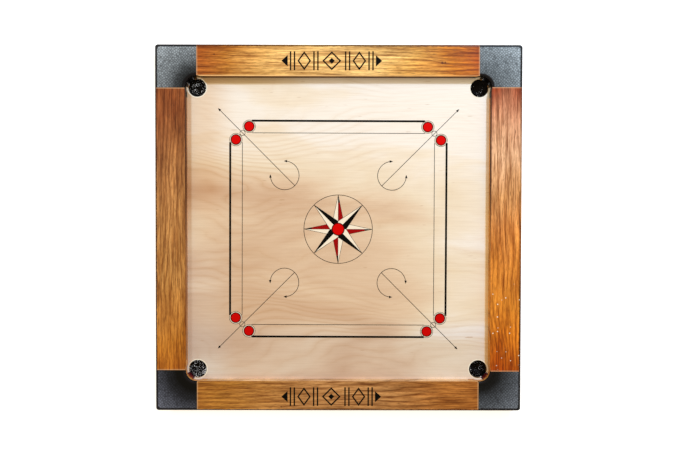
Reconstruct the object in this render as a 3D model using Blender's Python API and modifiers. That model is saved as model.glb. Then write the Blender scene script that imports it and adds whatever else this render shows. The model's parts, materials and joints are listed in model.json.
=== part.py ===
"""Carrom board: a square hardwood frame round a plywood playing surface with four netted pockets.

Units are metres and +Z is up.  The origin is at the middle of the underside.  The back of the board
is at +Y and the right at +X.  Every piece is its own object, and every solid that only cuts another
is in the collection "cutters".
"""

import math

import bmesh
import bpy
from mathutils import Matrix

# ---------------------------------------------------------------------------- driving dimensions
BOARD_SIDE = 0.890
FIELD_SIDE = 0.740
FIELD_SHIFT = (-0.0010, -0.0022)   # the rails' widths differ a little, which shifts the field
FRAME_HEIGHT = 0.050
SURFACE_Z = 0.030            # top of the plywood, 20 mm below the top of the frame
PLY_THICKNESS = 0.008
GROOVE_DEPTH = 0.010         # how far the plywood is let into each rail
GAP = 0.0003                 # clearance between pieces that touch

OUTER_ROUND = 0.005          # rounding of the frame's outer top edge
INNER_ROUND = 0.001          # rounding of the rail's edge over the field
CORNER_ROUND = 0.007         # rounding of the frame's four vertical corners
BOTTOM_CHAMFER = 0.001

POCKET_INSET = 0.0245        # pocket centre from each rail's inner face
POCKET_RADIUS = 0.0222
SLOT_WIDTH = 0.020           # the plywood is also cut away behind the pocket, for the corner block
SLOT_REACH = 0.037           # from the pocket's centre
BORE_RADIUS = 0.0270         # the frame's scooped wall behind the pocket
RELIEF_RADIUS = 0.0310       # room for the net under the plywood
BLOCK_REACH = 0.011          # size of the corner block, from the rails' inner faces
BLOCK_BOTTOM_Z = 0.0015

CAP_REACH = {                # each cap's size along X and Y, trimmed to its own corner
    "back_left": (0.1005, 0.1050),
    "back_right": (0.1040, 0.1025),
    "front_left": (0.1005, 0.0990),
    "front_right": (0.1030, 0.0965),
}
CAP_ROLL = 0.004             # radius of the cap's rolled edge round the pocket
CAP_THICKNESS = 0.0012
CAP_FLANGE_DROP = 0.024      # how far the cap reaches down the frame's outer sides
CAP_LIP = 0.0015             # straight lip below the rolled edge at the pocket
LAP_Z = 0.5 * FRAME_HEIGHT   # plane of the half-lapped corner joints

NET_WALL = 0.0015
NET_BOTTOM_Z = 0.0017
NET_RING_INNER = 0.0262
NET_RING_OUTER = 0.0298
NET_RING_THICKNESS = 0.0020
TACK_CIRCLE = 0.0280
TACK_SHANK = 0.0006
TACK_HEAD = 0.0015
TACK_LENGTH = 0.0095
TACK_ANGLES = (0.0, 100.0, -100.0)   # degrees from the direction that faces the board's centre

BATTEN_WIDTH = 0.040
BATTEN_BOTTOM_Z = 0.0015
BATTEN_HOUSING = 0.015       # how far a batten is let into the rail
BATTEN_SCREW_REACH = 0.330   # screw's distance from the middle of the board

SCREW_HEAD = 0.0035
SCREW_SHANK = 0.0016
SCREW_CONE = 0.0020
CAP_SCREW_LENGTH = 0.014
CAP_SCREW_Z = 0.037
CAP_SCREW_SPOT = 0.395       # screw's distance from the middle of the board, along the side
LAP_SCREW_LENGTH = 0.038
LAP_SCREW_PLACES = ((0.4225, 0.3925), (0.3925, 0.4225))
BATTEN_SCREW_LENGTH = 0.025
HEAD_SINK = 0.0005           # screw heads sit this far below the face

HOLE_SEGMENTS = 48           # pocket holes and bores, which show
RELIEF_SEGMENTS = 28
NET_SEGMENTS = 16
RING_SEGMENTS = 24
SCREW_SEGMENTS = 10
TACK_SEGMENTS = 6

# ------------------------------------------------------------------------------- derived values
HALF_BOARD = 0.5 * BOARD_SIDE
HALF_FIELD = 0.5 * FIELD_SIDE
PLY_BOTTOM_Z = SURFACE_Z - PLY_THICKNESS
BEYOND = 0.010               # how far a cutter runs past what it cuts

CORNERS = {
    "back_left": (-1, 1),
    "back_right": (1, 1),
    "front_left": (-1, -1),
    "front_right": (1, -1),
}


# ------------------------------------------------------------------------------------ scene set-up
def clear_scene():
    """Remove every object, so that only the board's pieces are left."""
    for obj in list(bpy.data.objects):
        bpy.data.objects.remove(obj, do_unlink=True)


def new_collection(name):
    collection = bpy.data.collections.new(name)
    bpy.context.scene.collection.children.link(collection)
    return collection


def material(name, colour, roughness, metallic=0.0):
    """A Principled BSDF material of one colour."""
    result = bpy.data.materials.new(name)
    result.use_nodes = True
    shader = result.node_tree.nodes["Principled BSDF"]
    shader.inputs["Base Color"].default_value = (*colour, 1.0)
    shader.inputs["Roughness"].default_value = roughness
    shader.inputs["Metallic"].default_value = metallic
    return result


# ---------------------------------------------------------------------------------- shape helpers
def place(name, mesh, finish=None, location=(0.0, 0.0, 0.0), turn=0.0):
    """Put a mesh in the scene.  With a finish it is a piece of the board, without one a cutter."""
    obj = bpy.data.objects.new(name, mesh)
    obj.location = location
    obj.rotation_euler = (0.0, 0.0, turn)
    if finish is None:
        obj.hide_render = True
        obj.display_type = "WIRE"
        cutters.objects.link(obj)
    else:
        mesh.materials.append(finish)
        pieces.objects.link(obj)
    return obj


def box_mesh(name, low, high, roundings=()):
    """A box between two corners.  Each rounding is (test on an edge's ends, radius, segments)."""
    bm = bmesh.new()
    bmesh.ops.create_cube(bm, size=1.0)
    size = [b - a for a, b in zip(low, high)]
    middle = [0.5 * (a + b) for a, b in zip(low, high)]
    bmesh.ops.scale(bm, vec=size, verts=bm.verts)
    bmesh.ops.translate(bm, vec=middle, verts=bm.verts)
    for test, radius, segments in roundings:
        edges = [edge for edge in bm.edges if test(edge.verts[0].co, edge.verts[1].co)]
        bmesh.ops.bevel(bm, geom=edges, offset=radius, segments=segments, profile=0.5,
                        affect="EDGES")
    mesh = bpy.data.meshes.new(name)
    bm.to_mesh(mesh)
    bm.free()
    return mesh


def box_cutter(name, low, high):
    return place(name, box_mesh(name, low, high))


def cylinder_cutter(name, centre, radius, bottom, top, segments):
    """An upright cylinder that only cuts."""
    bm = bmesh.new()
    bmesh.ops.create_cone(bm, cap_ends=True, segments=segments, radius1=radius, radius2=radius,
                          depth=top - bottom)
    bmesh.ops.translate(bm, vec=(centre[0], centre[1], 0.5 * (bottom + top)), verts=bm.verts)
    mesh = bpy.data.meshes.new(name)
    bm.to_mesh(mesh)
    bm.free()
    return place(name, mesh)


def turned_mesh(name, profile, segments, closed=False):
    """A mesh turned about Z from (radius, height) points that run down the outer side."""
    mesh = bpy.data.meshes.new(name)
    vertices = [(radius, 0.0, height) for radius, height in profile]
    edges = [(i, i + 1) for i in range(len(profile) - 1)]
    if closed:
        edges.append((len(profile) - 1, 0))
    mesh.from_pydata(vertices, edges, [])
    obj = bpy.data.objects.new(name, mesh)
    cutters.objects.link(obj)
    screw = obj.modifiers.new("turn", "SCREW")
    screw.axis = "Z"
    screw.steps = segments
    screw.render_steps = segments
    screw.use_merge_vertices = True
    screw.merge_threshold = 0.00001
    evaluated = obj.evaluated_get(bpy.context.evaluated_depsgraph_get())
    result = bpy.data.meshes.new_from_object(evaluated)
    bpy.data.objects.remove(obj, do_unlink=True)
    return result


def cut(obj, *others, operation="DIFFERENCE"):
    """Cut a piece with each of the other objects, or keep what they share."""
    for other in others:
        modifier = obj.modifiers.new(f"{operation.lower()} {other.name}", "BOOLEAN")
        modifier.operation = operation
        modifier.solver = "EXACT"
        modifier.object = other


def smooth(mesh, degrees=35.0):
    """Shade the round faces of a mesh smooth and leave its real edges sharp."""
    mesh.shade_smooth()
    mesh.set_sharp_from_angle(angle=math.radians(degrees))


def from_corner(signs, inset):
    """The point that is the same inset from both rails' inner faces at one corner."""
    return tuple(shift + sign * (HALF_FIELD - inset) for sign, shift in zip(signs, FIELD_SHIFT))


def arc(centre, radius, start, stop, steps):
    """Points along an arc, with angles in degrees."""
    angles = [math.radians(start + (stop - start) * i / steps) for i in range(steps + 1)]
    return [(centre[0] + radius * math.cos(a), centre[1] + radius * math.sin(a)) for a in angles]


# ------------------------------------------------------------------------- whole-board cutters
def is_upright(a, b):
    return abs(a.z - b.z) > 0.001 and abs(a.x - b.x) + abs(a.y - b.y) < 0.0001


def rounded_block(name, inset, bottom, top):
    """The frame's outer shape, shrunk by an inset, as one block with no field cut in it."""
    half = HALF_BOARD - inset

    def on_top(a, b):
        return min(a.z, b.z) > top - 0.0001

    roundings = (
        (is_upright, CORNER_ROUND - inset, 4),
        (on_top, OUTER_ROUND - inset, 4),
    )
    mesh = box_mesh(name, (-half, -half, bottom), (half, half, top), roundings)
    return place(name, mesh)


def rolled_plug(name, signs, offset):
    """The hollow that the cap's rolled edge follows round a pocket, grown by an offset."""
    roll_z = FRAME_HEIGHT - CAP_ROLL
    roll_radius = BORE_RADIUS - CAP_THICKNESS + CAP_ROLL
    bottom = roll_z - CAP_LIP - (GAP if offset > CAP_THICKNESS else 0.0)
    if offset == 0.0:
        bottom -= BEYOND
    roll = arc((roll_radius, roll_z), CAP_ROLL - offset, 180.0, 90.0, 5)
    profile = [(0.0, FRAME_HEIGHT + BEYOND), (roll_radius, FRAME_HEIGHT + BEYOND)]
    profile += list(reversed(roll))
    profile += [(roll_radius - CAP_ROLL + offset, bottom), (0.0, bottom)]
    x, y = from_corner(signs, POCKET_INSET)
    return place(name, turned_mesh(name, profile, HOLE_SEGMENTS), location=(x, y, 0.0))


def inner_core(name, offset):
    """What lies under the caps: the frame's shape an offset inside, open at each pocket."""
    core = rounded_block(name, offset, -BEYOND, FRAME_HEIGHT - offset)
    for corner, signs in CORNERS.items():
        cut(core, rolled_plug(f"{name}_plug_{corner}", signs, offset))
    return core


def corner_zone(name, corner, margin):
    """The column over one corner that its cap fills, grown by a margin."""
    signs = CORNERS[corner]
    outer = HALF_BOARD + BEYOND
    (low_x, high_x), (low_y, high_y) = (
        sorted((sign * (HALF_BOARD - reach - margin), sign * outer))
        for sign, reach in zip(signs, CAP_REACH[corner])
    )
    bottom = FRAME_HEIGHT - CAP_FLANGE_DROP - margin
    return box_mesh(name, (low_x, low_y, bottom), (high_x, high_y, FRAME_HEIGHT + BEYOND))


# --------------------------------------------------------------------------------------- screws
def screw_profile(length, clearance=0.0):
    """A countersunk screw that points up (+Z), with its head's face at height 0."""
    head = SCREW_HEAD + clearance
    shank = SCREW_SHANK + clearance
    start = -BEYOND if clearance else 0.0
    tip = length + clearance
    return [
        (0.0, tip),
        (shank, tip - 2.0 * SCREW_SHANK),
        (shank, SCREW_CONE + clearance),
        (head, clearance),
        (head, start),
        (0.0, start),
    ]


def aim(mesh, direction, point):
    """Turn a screw's mesh from +Z to a direction and put its head's face at a point."""
    turn = direction_matrix(direction)
    mesh.transform(Matrix.Translation(point) @ turn)
    return mesh


def direction_matrix(direction):
    """The rotation that carries +Z to a direction along X, Y or Z."""
    x, y, _ = direction
    if x:
        return Matrix.Rotation(math.radians(90.0) * x, 4, "Y")
    if y:
        return Matrix.Rotation(math.radians(-90.0) * y, 4, "X")
    return Matrix.Identity(4)


def screw_with_hole(name, finish, length, point, direction):
    """A countersunk screw and the cutter for its hole, in one place.

    The screw's own origin is the middle of its head's face.
    """
    screw_mesh = turned_mesh(name, screw_profile(length), SCREW_SEGMENTS)
    screw_mesh.transform(direction_matrix(direction))
    smooth(screw_mesh)
    place(name, screw_mesh, finish, location=point)
    hole_mesh = turned_mesh(f"hole_{name}", screw_profile(length, GAP), SCREW_SEGMENTS)
    return place(f"hole_{name}", aim(hole_mesh, direction, point))


# ---------------------------------------------------------------------------------------- pieces
def make_surface(finish, hole_cutters):
    """The plywood playing surface with its four pocket holes."""
    half = HALF_FIELD + GROOVE_DEPTH - GAP
    low = (-half, -half, -PLY_THICKNESS)
    mesh = box_mesh("playing_surface", low, (half, half, 0.0))
    surface = place("playing_surface", mesh, finish, location=(*FIELD_SHIFT, SURFACE_Z))
    cut(surface, *hole_cutters)


def rail_mesh(name, width):
    """A full-length rail along X with its outer side at +Y and its underside at Z = 0."""
    half_width = 0.5 * width

    def along_edge(side, height):
        def test(a, b):
            if abs(a.x - b.x) < width:
                return False
            same_side = all(abs(p.y - side * half_width) < 0.0001 for p in (a, b))
            return same_side and all(abs(p.z - height) < 0.0001 for p in (a, b))
        return test

    roundings = (
        (along_edge(1, FRAME_HEIGHT), OUTER_ROUND, 4),
        (along_edge(-1, FRAME_HEIGHT), INNER_ROUND, 2),
        (along_edge(1, 0.0), BOTTOM_CHAMFER, 1),
        (along_edge(-1, 0.0), BOTTOM_CHAMFER, 1),
    )
    reach = HALF_BOARD + BEYOND
    return box_mesh(name, (-reach, -half_width, 0.0), (reach, half_width, FRAME_HEIGHT), roundings)


def make_rail(name, finish, turn, joint_cutters):
    """One rail, turned to its side of the board and cut to its joints."""
    outward = (-math.sin(turn), math.cos(turn))
    inner_face = HALF_FIELD + outward[0] * FIELD_SHIFT[0] + outward[1] * FIELD_SHIFT[1]
    mesh = rail_mesh(name, HALF_BOARD - inner_face)
    out = 0.5 * (HALF_BOARD + inner_face)
    location = (outward[0] * out, outward[1] * out, 0.0)
    rail = place(name, mesh, finish, location=location, turn=turn)
    cut(rail, outline, operation="INTERSECT")
    cut(rail, groove, *joint_cutters)


def make_cap(corner, finish, plug, core, screw_holes):
    """A pressed corner cap: top plate, two side flanges and a rolled lip round the pocket."""
    x, y = (sign * HALF_BOARD for sign in CORNERS[corner])
    name = f"corner_cap_{corner}"
    mesh = corner_zone(name, corner, 0.0)
    mesh.transform(Matrix.Translation((-x, -y, -FRAME_HEIGHT)))
    cap = place(name, mesh, finish, location=(x, y, FRAME_HEIGHT))
    cut(cap, shell, operation="INTERSECT")
    cut(cap, core, plug, *screw_holes)


def make_block(name, finish, signs, bore):
    """The upright block that fills the frame's inner corner behind a pocket."""
    (low_x, high_x), (low_y, high_y) = (
        sorted(ends) for ends in zip(from_corner(signs, GAP), from_corner(signs, BLOCK_REACH))
    )
    top = FRAME_HEIGHT - CAP_ROLL - CAP_LIP - GAP
    x, y = from_corner(signs, 0.0)
    mesh = box_mesh(name, (low_x, low_y, BLOCK_BOTTOM_Z), (high_x, high_y, top))
    mesh.transform(Matrix.Translation((-x, -y, 0.0)))
    block = place(name, mesh, finish, location=(x, y, 0.0))
    cut(block, bore)


def net_profile():
    """Slack cup of the net with its flange, as (radius, height) with height 0 at the plywood."""
    top = -GAP
    floor = NET_BOTTOM_Z - PLY_BOTTOM_Z
    flange = 0.0012
    inside = [
        (0.0, floor + NET_WALL),
        (0.0120, floor + NET_WALL + 0.0002),
        (0.0195, floor + NET_WALL + 0.0020),
        (0.0236, floor + NET_WALL + 0.0063),
        (0.0241, floor + NET_WALL + 0.0118),
        (0.0232, top),
    ]
    outside = [
        (NET_RING_OUTER, top),
        (NET_RING_OUTER, top - flange),
        (0.0232 + NET_WALL, top - flange),
        (0.0241 + NET_WALL, floor + NET_WALL + 0.0116),
        (0.0236 + NET_WALL, floor + NET_WALL + 0.0055),
        (0.0206, floor + 0.0018),
        (0.0125, floor + 0.0002),
        (0.0, floor),
    ]
    return inside + outside


def make_net(corner, net_finish, ring_finish, tack_finish, signs, slot):
    """A pocket net, its clamping ring and three tacks; returns the cutters for the tacks' holes."""
    x, y = from_corner(signs, POCKET_INSET)
    inward = math.atan2(-signs[1], -signs[0])
    ring_top = PLY_BOTTOM_Z - 2.0 * GAP - 0.0012
    ring_bottom = ring_top - NET_RING_THICKNESS

    net_mesh = turned_mesh("net", net_profile(), NET_SEGMENTS)
    smooth(net_mesh)
    net = place(f"pocket_net_{corner}", net_mesh, net_finish, location=(x, y, PLY_BOTTOM_Z))

    ring_profile = [
        (NET_RING_OUTER, 0.0),
        (NET_RING_OUTER, -NET_RING_THICKNESS),
        (NET_RING_INNER, -NET_RING_THICKNESS),
        (NET_RING_INNER, 0.0),
    ]
    ring_mesh = turned_mesh("ring", ring_profile, RING_SEGMENTS, closed=True)
    smooth(ring_mesh)
    ring = place(f"net_ring_{corner}", ring_mesh, ring_finish, location=(x, y, ring_top))
    cut(net, slot)
    cut(ring, slot)

    tack_profile = [
        (0.0, TACK_LENGTH),
        (TACK_SHANK, TACK_LENGTH - 0.0015),
        (TACK_SHANK, 0.0),
        (TACK_HEAD, 0.0),
        (0.7 * TACK_HEAD, -0.0009),
        (0.0, -0.0011),
    ]
    hole_radius = TACK_SHANK + GAP
    holes = []
    for number, degrees in enumerate(TACK_ANGLES, start=1):
        angle = inward + math.radians(degrees)
        spot = (x + TACK_CIRCLE * math.cos(angle), y + TACK_CIRCLE * math.sin(angle))
        tack_mesh = turned_mesh("tack", tack_profile, TACK_SEGMENTS)
        smooth(tack_mesh)
        place(f"net_tack_{corner}_{number}", tack_mesh, tack_finish,
              location=(*spot, ring_bottom - GAP))
        hole = cylinder_cutter(f"hole_net_tack_{corner}_{number}", spot, hole_radius,
                               ring_bottom - BEYOND, ring_bottom + TACK_LENGTH + GAP,
                               TACK_SEGMENTS)
        holes.append(hole)
    cut(net, *holes)
    cut(ring, *holes)
    return holes


def make_battens(finish, screw_finish):
    """Two crossed battens under the plywood; returns the cutters for their housings and screws."""
    half_length = HALF_FIELD + BATTEN_HOUSING - GAP
    half_width = 0.5 * BATTEN_WIDTH
    top = PLY_BOTTOM_Z - GAP
    middle_z = 0.5 * (BATTEN_BOTTOM_Z + top)
    holes = []
    housings = {}
    middle_x, middle_y = FIELD_SHIFT
    plans = {
        "batten_crosswise": ("left", "right", 0.0),
        "batten_lengthwise": ("front", "back", math.radians(90.0)),
    }
    notches = {
        "batten_crosswise": box_cutter(
            "notch_crosswise",
            (-half_width - GAP, -half_width - BEYOND, BATTEN_BOTTOM_Z - BEYOND),
            (half_width + GAP, half_width + BEYOND, middle_z + 0.5 * GAP)),
        "batten_lengthwise": box_cutter(
            "notch_lengthwise",
            (-half_width - BEYOND, -half_width - GAP, middle_z - 0.5 * GAP),
            (half_width + BEYOND, half_width + GAP, top + BEYOND)),
    }
    for name, (low_end, high_end, turn) in plans.items():
        height = top - BATTEN_BOTTOM_Z
        mesh = box_mesh(name, (-half_length, -half_width, 0.0), (half_length, half_width, height))
        batten = place(name, mesh, finish, location=(*FIELD_SHIFT, BATTEN_BOTTOM_Z), turn=turn)
        cut(batten, notches[name])
        for end, sign in ((low_end, -1), (high_end, 1)):
            reach = sign * BATTEN_SCREW_REACH
            point = (middle_x + reach * math.cos(turn), middle_y + reach * math.sin(turn),
                     BATTEN_BOTTOM_Z + HEAD_SINK)
            hole = screw_with_hole(f"batten_screw_{end}", screw_finish, BATTEN_SCREW_LENGTH,
                                   point, (0, 0, 1))
            cut(batten, hole)
            holes.append(hole)
            inner = HALF_FIELD - BEYOND
            outer = HALF_FIELD + BATTEN_HOUSING
            low, high = sorted((sign * inner, sign * outer))
            housing_mesh = box_mesh(f"housing_{end}",
                                    (low, -half_width - GAP, -BEYOND),
                                    (high, half_width + GAP, PLY_BOTTOM_Z))
            housings[end] = place(f"housing_{end}", housing_mesh, location=(*FIELD_SHIFT, 0.0),
                                  turn=turn)
    for notch in notches.values():
        notch.location = (*FIELD_SHIFT, 0.0)
    return housings, holes


# ---------------------------------------------------------------------------------------- assembly
def corner_cutters(corner, signs):
    """The cutters that shape the plywood, the block and the frame at one corner."""
    pocket_centre = from_corner(signs, POCKET_INSET)
    under_ply = PLY_BOTTOM_Z + 0.5 * PLY_THICKNESS
    above = FRAME_HEIGHT + BEYOND
    hole = cylinder_cutter(f"pocket_{corner}", pocket_centre, POCKET_RADIUS,
                           PLY_BOTTOM_Z - BEYOND, above, HOLE_SEGMENTS)
    slot_mesh = box_mesh(f"slot_{corner}", (0.0, -0.5 * SLOT_WIDTH, PLY_BOTTOM_Z - BEYOND),
                         (SLOT_REACH, 0.5 * SLOT_WIDTH, above))
    slot = place(f"slot_{corner}", slot_mesh, location=(*pocket_centre, 0.0),
                 turn=math.atan2(signs[1], signs[0]))
    bore = cylinder_cutter(f"bore_{corner}", pocket_centre, BORE_RADIUS, under_ply, above,
                           HOLE_SEGMENTS)
    block_bore = cylinder_cutter(f"scoop_{corner}", pocket_centre, BORE_RADIUS, -BEYOND, above,
                                 HOLE_SEGMENTS)
    relief = cylinder_cutter(f"relief_{corner}", pocket_centre, RELIEF_RADIUS, -BEYOND,
                             under_ply, RELIEF_SEGMENTS)
    seat = place(f"seat_{corner}", corner_zone(f"seat_{corner}", corner, GAP))
    cut(seat, seat_core)
    return (hole, slot), block_bore, (bore, relief, seat)


def make_cap_screws(corner, signs):
    """The two screws in a cap's side flanges; returns the cutters for their holes."""
    face = HALF_BOARD - HEAD_SINK
    places = {
        "side": ((signs[0] * face, signs[1] * CAP_SCREW_SPOT, CAP_SCREW_Z), (-signs[0], 0, 0)),
        "end": ((signs[0] * CAP_SCREW_SPOT, signs[1] * face, CAP_SCREW_Z), (0, -signs[1], 0)),
    }
    return [
        screw_with_hole(f"cap_screw_{corner}_{flange}", cap_screw_steel, CAP_SCREW_LENGTH, *spot)
        for flange, spot in places.items()
    ]


def make_lap_screws(corner, signs):
    """The two screws that hold a corner joint from below; returns the cutters for their holes."""
    return [
        screw_with_hole(f"lap_screw_{corner}_{number}", plain_screw_steel, LAP_SCREW_LENGTH,
                        (signs[0] * x, signs[1] * y, HEAD_SINK), (0, 0, 1))
        for number, (x, y) in enumerate(LAP_SCREW_PLACES, start=1)
    ]


def lap_boxes(label, along_x, low_z, high_z):
    """The two boxes that halve one pair of rails where they cross the other pair."""
    inner = HALF_FIELD - GAP
    outer = HALF_BOARD + 2.0 * BEYOND
    shift = FIELD_SHIFT[0 if along_x else 1]
    boxes = []
    for sign in (-1, 1):
        near, far = sorted((shift + sign * inner, sign * outer))
        low = (near, -outer, low_z) if along_x else (-outer, near, low_z)
        high = (far, outer, high_z) if along_x else (outer, far, high_z)
        boxes.append(box_cutter(f"lap_{label}_{sign}", low, high))
    return boxes


clear_scene()
pieces = new_collection("carrom_board")
cutters = new_collection("cutters")

plywood = material("birch plywood", (0.82, 0.64, 0.46), 0.30)
rail_wood = material("rail hardwood", (0.50, 0.24, 0.08), 0.38)
block_wood = material("corner block hardwood", (0.42, 0.19, 0.06), 0.45)
batten_wood = material("batten softwood", (0.62, 0.44, 0.26), 0.60)
cap_black = material("pebbled black cap", (0.03, 0.032, 0.036), 0.42)
net_black = material("net cord", (0.012, 0.012, 0.014), 0.60)
ring_black = material("net ring", (0.02, 0.02, 0.022), 0.50)
tack_steel = material("tack steel", (0.45, 0.45, 0.46), 0.35, 1.0)
cap_screw_steel = material("blackened screw", (0.05, 0.05, 0.055), 0.35, 1.0)
plain_screw_steel = material("zinc plated screw", (0.62, 0.60, 0.55), 0.35, 1.0)

# The frame's outline from above, which rounds the rails' ends at the four corners.
outline_mesh = box_mesh("outline", (-HALF_BOARD, -HALF_BOARD, -BEYOND),
                        (HALF_BOARD, HALF_BOARD, FRAME_HEIGHT + BEYOND),
                        ((is_upright, CORNER_ROUND, 4),))
outline = place("outline", outline_mesh)
groove_reach = HALF_FIELD + GROOVE_DEPTH
groove = box_cutter("groove", (-groove_reach, -groove_reach, PLY_BOTTOM_Z - GAP),
                    (groove_reach, groove_reach, SURFACE_Z + GAP))
groove.location = (*FIELD_SHIFT, 0.0)
shell = rounded_block("shell", 0.0, -BEYOND, FRAME_HEIGHT)
cap_core = inner_core("cap_core", CAP_THICKNESS)
seat_core = inner_core("seat_core", CAP_THICKNESS + GAP)

surface_cutters = []
frame_cutters = []
cap_screw_holes = []
for corner, signs in CORNERS.items():
    pocket, block_bore, (bore, relief, seat) = corner_cutters(corner, signs)
    plug = rolled_plug(f"plug_{corner}", signs, 0.0)
    cap_holes = make_cap_screws(corner, signs)
    make_cap(corner, cap_black, plug, cap_core, cap_holes)
    make_block(f"pocket_block_{corner}", block_wood, signs, block_bore)
    tack_holes = make_net(corner, net_black, ring_black, tack_steel, signs, pocket[1])
    surface_cutters += [*pocket, *tack_holes]
    frame_cutters += [bore, relief, seat, *make_lap_screws(corner, signs)]
    cap_screw_holes += cap_holes

housings, batten_holes = make_battens(batten_wood, plain_screw_steel)
make_surface(plywood, surface_cutters + batten_holes)

# The back and front rails keep their upper halves at the corners, the other two their lower ones.
end_laps = lap_boxes("end", True, -BEYOND, LAP_Z + 0.5 * GAP)
side_laps = lap_boxes("side", False, LAP_Z - 0.5 * GAP, FRAME_HEIGHT + BEYOND)
for side, degrees, joint_cutters in (
    ("back", 0.0, end_laps + cap_screw_holes),
    ("front", 180.0, end_laps + cap_screw_holes),
    ("left", 90.0, side_laps),
    ("right", -90.0, side_laps),
):
    near = [cutter for cutter in frame_cutters + joint_cutters
            if side in cutter.name or cutter.name.startswith("lap_")]
    make_rail(f"rail_{side}", rail_wood, math.radians(degrees), near + [housings[side]])
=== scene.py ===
"""Looks of the carrom board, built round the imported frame.  Metres, +Z up, the back rail at +Y.

The CAD pieces that already have the right shape keep it and get their finish here.  The printed
lines, the knotted nets and the cross-recessed screws are made here.
"""

import json
import math
import random

import bmesh
import bpy
from mathutils import Matrix, Vector, noise


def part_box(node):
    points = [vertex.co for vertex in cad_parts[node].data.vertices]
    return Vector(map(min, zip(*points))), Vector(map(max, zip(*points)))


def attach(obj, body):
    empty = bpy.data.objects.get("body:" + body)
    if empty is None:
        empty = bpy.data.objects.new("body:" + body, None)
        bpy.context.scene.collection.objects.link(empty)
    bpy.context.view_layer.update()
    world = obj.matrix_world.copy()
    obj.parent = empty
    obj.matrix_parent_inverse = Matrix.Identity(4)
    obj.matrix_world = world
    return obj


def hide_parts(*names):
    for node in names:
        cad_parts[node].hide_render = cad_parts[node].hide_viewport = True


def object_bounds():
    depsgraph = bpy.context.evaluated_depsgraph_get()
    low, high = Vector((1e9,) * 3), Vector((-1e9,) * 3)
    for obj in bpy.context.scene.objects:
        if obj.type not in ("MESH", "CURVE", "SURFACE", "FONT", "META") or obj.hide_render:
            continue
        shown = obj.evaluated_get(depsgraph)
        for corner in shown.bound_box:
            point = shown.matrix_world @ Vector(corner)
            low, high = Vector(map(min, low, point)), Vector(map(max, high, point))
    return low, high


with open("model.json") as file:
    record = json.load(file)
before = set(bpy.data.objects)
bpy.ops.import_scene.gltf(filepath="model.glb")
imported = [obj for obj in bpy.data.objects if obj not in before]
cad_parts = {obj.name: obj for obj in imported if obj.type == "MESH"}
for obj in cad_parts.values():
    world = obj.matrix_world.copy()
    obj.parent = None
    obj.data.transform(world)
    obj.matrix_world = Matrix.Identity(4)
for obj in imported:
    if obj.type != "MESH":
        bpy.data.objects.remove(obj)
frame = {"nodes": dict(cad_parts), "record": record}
cad_low, cad_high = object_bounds()

# ---- sizes taken from the frame
HALF_BOARD = cad_high.x
TOP_Z = cad_high.z
SURFACE_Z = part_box("playing_surface")[1].z
PLY_BOTTOM_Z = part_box("playing_surface")[0].z
PLY_PAIR = 0.0016  # a light ply of the plywood and a dark one together
INNER_FACES = {  # the coordinate of each rail's face over the field
    "rail_back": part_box("rail_back")[0].y,
    "rail_front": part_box("rail_front")[1].y,
    "rail_left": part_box("rail_left")[1].x,
    "rail_right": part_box("rail_right")[0].x,
}
FIELD_MIDDLE = Vector((0.5 * (INNER_FACES["rail_left"] + INNER_FACES["rail_right"]),
                       0.5 * (INNER_FACES["rail_front"] + INNER_FACES["rail_back"])))
FIELD_HALF = 0.5 * (INNER_FACES["rail_back"] - INNER_FACES["rail_front"])
CORNERS = {
    "back_left": (-1, 1),
    "back_right": (1, 1),
    "front_left": (-1, -1),
    "front_right": (1, -1),
}


def pocket_middle(corner):
    """The middle of a pocket, from the opening that the record states for it."""
    for opening in frame["record"]["physics"]["openings"]:
        if opening["name"] == f"pocket_{corner}_mouth":
            low, high = (Vector(point[:2]) for point in opening["box_m"])
            return 0.5 * (low + high)


POCKETS = {corner: pocket_middle(corner) for corner in CORNERS}
POCKET_RADIUS = 0.0222
BORE_RADIUS = 0.0270  # the frame's scooped wall behind a pocket
CAP_ROLL = 0.0040  # radius of the cap's rolled edge over that wall
WALL_SHADE_REACH = 0.0355  # how far from a pocket's middle the rails' wall gets painted shade

# ---- the printing on the surface
PRINT_SCALE = 0.9965  # the print came out this much under its drawn size,
PRINT_TURN = -0.0023  # turned a little,
PRINT_SHIFT = Vector((0.0, -0.0005))  # and a little off the field's middle
INK_STEP = 0.00012  # each layer of ink lies this far above the one under it
BASE_LINE = 0.2662  # middle of the thick base line, from the print's middle
BASE_LINE_WIDTH = 0.0049
INNER_LINE = 0.2364  # middle of the thin base line
THIN_LINE = 0.0013
FINE_LINE = 0.0011
BASE_CIRCLE_ALONG = 0.2197  # base circle's place along its line
BASE_CIRCLE_OUT = 0.2523  # and its distance from the print's middle
BASE_CIRCLE_RADIUS = 0.0159
BASE_SPOT_RADIUS = 0.0132
LINE_END = 0.0066  # lines stop this far short of the circle's middle
SPOT_RIM = 0.0024  # darker rim of a red spot
PIVOT_RING_RADIUS = 0.0064  # small ring between two base circles
ARROW_TIP = 0.2965
ARC_MIDDLE = 0.1320
ARC_RADIUS = 0.0353
ARROW_HEAD_LENGTH = 0.0080
ARROW_HEAD_WIDTH = 0.0062
CENTRE_CIRCLE_RADIUS = 0.0850
CENTRE_SPOT_RADIUS = 0.0160
STAR_INNER_RADIUS = {"upright": 0.0205, "diagonal": 0.0197}
STAR_OUTLINE = 0.0008
STAR_BLACK_END = 0.24  # part of each red half, at its tip, that is black
RING_WIDTH = 0.0022  # bare wood round the edge of a pocket's hole
RING_GAPS = {1: 46.0, -1: 27.0}  # degrees without it each side of the corner: back, front

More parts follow.
